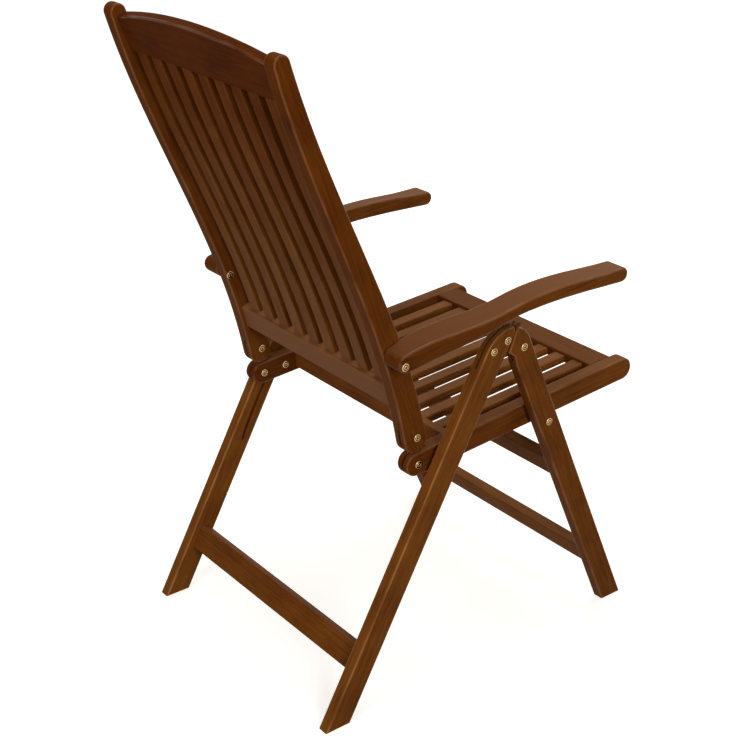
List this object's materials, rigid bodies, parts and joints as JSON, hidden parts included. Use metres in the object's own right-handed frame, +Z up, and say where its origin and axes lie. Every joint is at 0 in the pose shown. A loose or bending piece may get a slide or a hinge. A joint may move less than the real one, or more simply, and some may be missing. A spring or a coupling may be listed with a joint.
{
  "type": "folding garden armchair",
  "caption": "High-backed folding garden armchair of oiled hardwood: slatted seat and curved slatted back, scissor legs, shaped armrests on notched racks, brass-coloured pivots.",
  "frame": {"origin": "middle of the chair's bounding box on the floor, chair open and the back most upright", "axes": "+X across the chair towards the sitter's left, +Y towards the rear, +Z up; the sitter faces -Y"},
  "size_m": [0.5558, 0.7457, 1.1141],
  "materials": {
    "frame_wood": "satin oiled",
    "arm_wood": "satin oiled",
    "rail_wood": "satin oiled",
    "slat_wood": "satin oiled",
    "bolt_brass": "brushed",
    "plate_metal": "dulled"
  },
  "bodies": {
    "rear_frame": {"rear_leg_left": "frame_wood", "rear_leg_right": "frame_wood", "rear_stretcher": "rail_wood", "leg_plate_left": "plate_metal", "leg_plate_right": "plate_metal", "leg_plate_bolts_left": "bolt_brass", "leg_plate_bolts_right": "bolt_brass"},
    "front_frame": {"front_leg_left": "frame_wood", "front_leg_right": "frame_wood", "front_low_stretcher": "rail_wood", "front_high_stretcher": "rail_wood", "leg_pivot_left": "bolt_brass", "leg_pivot_right": "bolt_brass", "seat_pivot_left": "bolt_brass", "seat_pivot_right": "bolt_brass"},
    "seat": {"seat_rail_left": "frame_wood", "seat_rail_right": "frame_wood", "seat_front_board": "rail_wood", "seat_rear_board": "rail_wood", "seat_slat_1": "slat_wood", "seat_slat_2": "slat_wood", "seat_slat_3": "slat_wood", "seat_slat_4": "slat_wood", "seat_slat_5": "slat_wood", "seat_slat_6": "slat_wood", "seat_slat_7": "slat_wood", "seat_slat_8": "slat_wood", "seat_slat_9": "slat_wood", "slot_bolt_left": "bolt_brass", "slot_bolt_right": "bolt_brass"},
    "back_link": {"seat_plate_left": "plate_metal", "seat_plate_right": "plate_metal", "back_pivot_left": "bolt_brass", "back_pivot_right": "bolt_brass"},
    "back": {"back_stile_left": "frame_wood", "back_stile_right": "frame_wood", "crest_rail": "rail_wood", "back_bottom_rail": "rail_wood", "back_slat_1": "slat_wood", "back_slat_2": "slat_wood", "back_slat_3": "slat_wood", "back_slat_4": "slat_wood", "back_slat_5": "slat_wood", "back_slat_6": "slat_wood", "back_slat_7": "slat_wood", "back_slat_8": "slat_wood", "back_slat_9": "slat_wood"},
    "armrest_left": {"armrest_left": "arm_wood", "arm_rack_left": "plate_metal", "arm_bolt_left": "bolt_brass", "arm_sleeve_left": "bolt_brass"},
    "armrest_right": {"armrest_right": "arm_wood", "arm_rack_right": "plate_metal", "arm_bolt_right": "bolt_brass", "arm_sleeve_right": "bolt_brass"}
  },
  "joints": [
    {"name": "leg fold", "type": "hinge", "parent": "rear_frame", "child": "front_frame", "pos_m": [0, -0.0782, 0.58], "axis": [1, 0, 0], "range_deg": [0, 50]},
    {"name": "seat swing", "type": "hinge", "parent": "front_frame", "child": "seat", "pos_m": [0, -0.14442, 0.4245], "axis": [-1, 0, 0], "range_deg": [0, 95]},
    {"name": "back recline", "type": "hinge", "parent": "seat", "child": "back_link", "pos_m": [0, 0.11504, 0.41587], "axis": [-1, 0, 0], "range_deg": [0, 28]},
    {"name": "back fold", "type": "hinge", "parent": "back_link", "child": "back", "pos_m": [0, 0.11867, 0.46524], "axis": [1, 0, 0], "range_deg": [0, 96.15]},
    {"name": "armrest left fold", "type": "hinge", "parent": "back", "child": "armrest_left", "pos_m": [0.2545, 0.17937, 0.62124], "axis": [-1, 0, 0], "range_deg": [0, 109]},
    {"name": "armrest right fold", "type": "hinge", "parent": "back", "child": "armrest_right", "pos_m": [-0.2545, 0.17937, 0.62124], "axis": [-1, 0, 0], "range_deg": [0, 109]}
  ],
  "couplings": [
    {"joint": "seat swing", "follows": "leg fold", "ratio": 1.9},
    {"joint": "back fold", "follows": "leg fold", "ratio": 1.923},
    {"joint": "armrest left fold", "follows": "leg fold", "ratio": 2.18},
    {"joint": "armrest right fold", "follows": "leg fold", "ratio": 2.18}
  ]
}
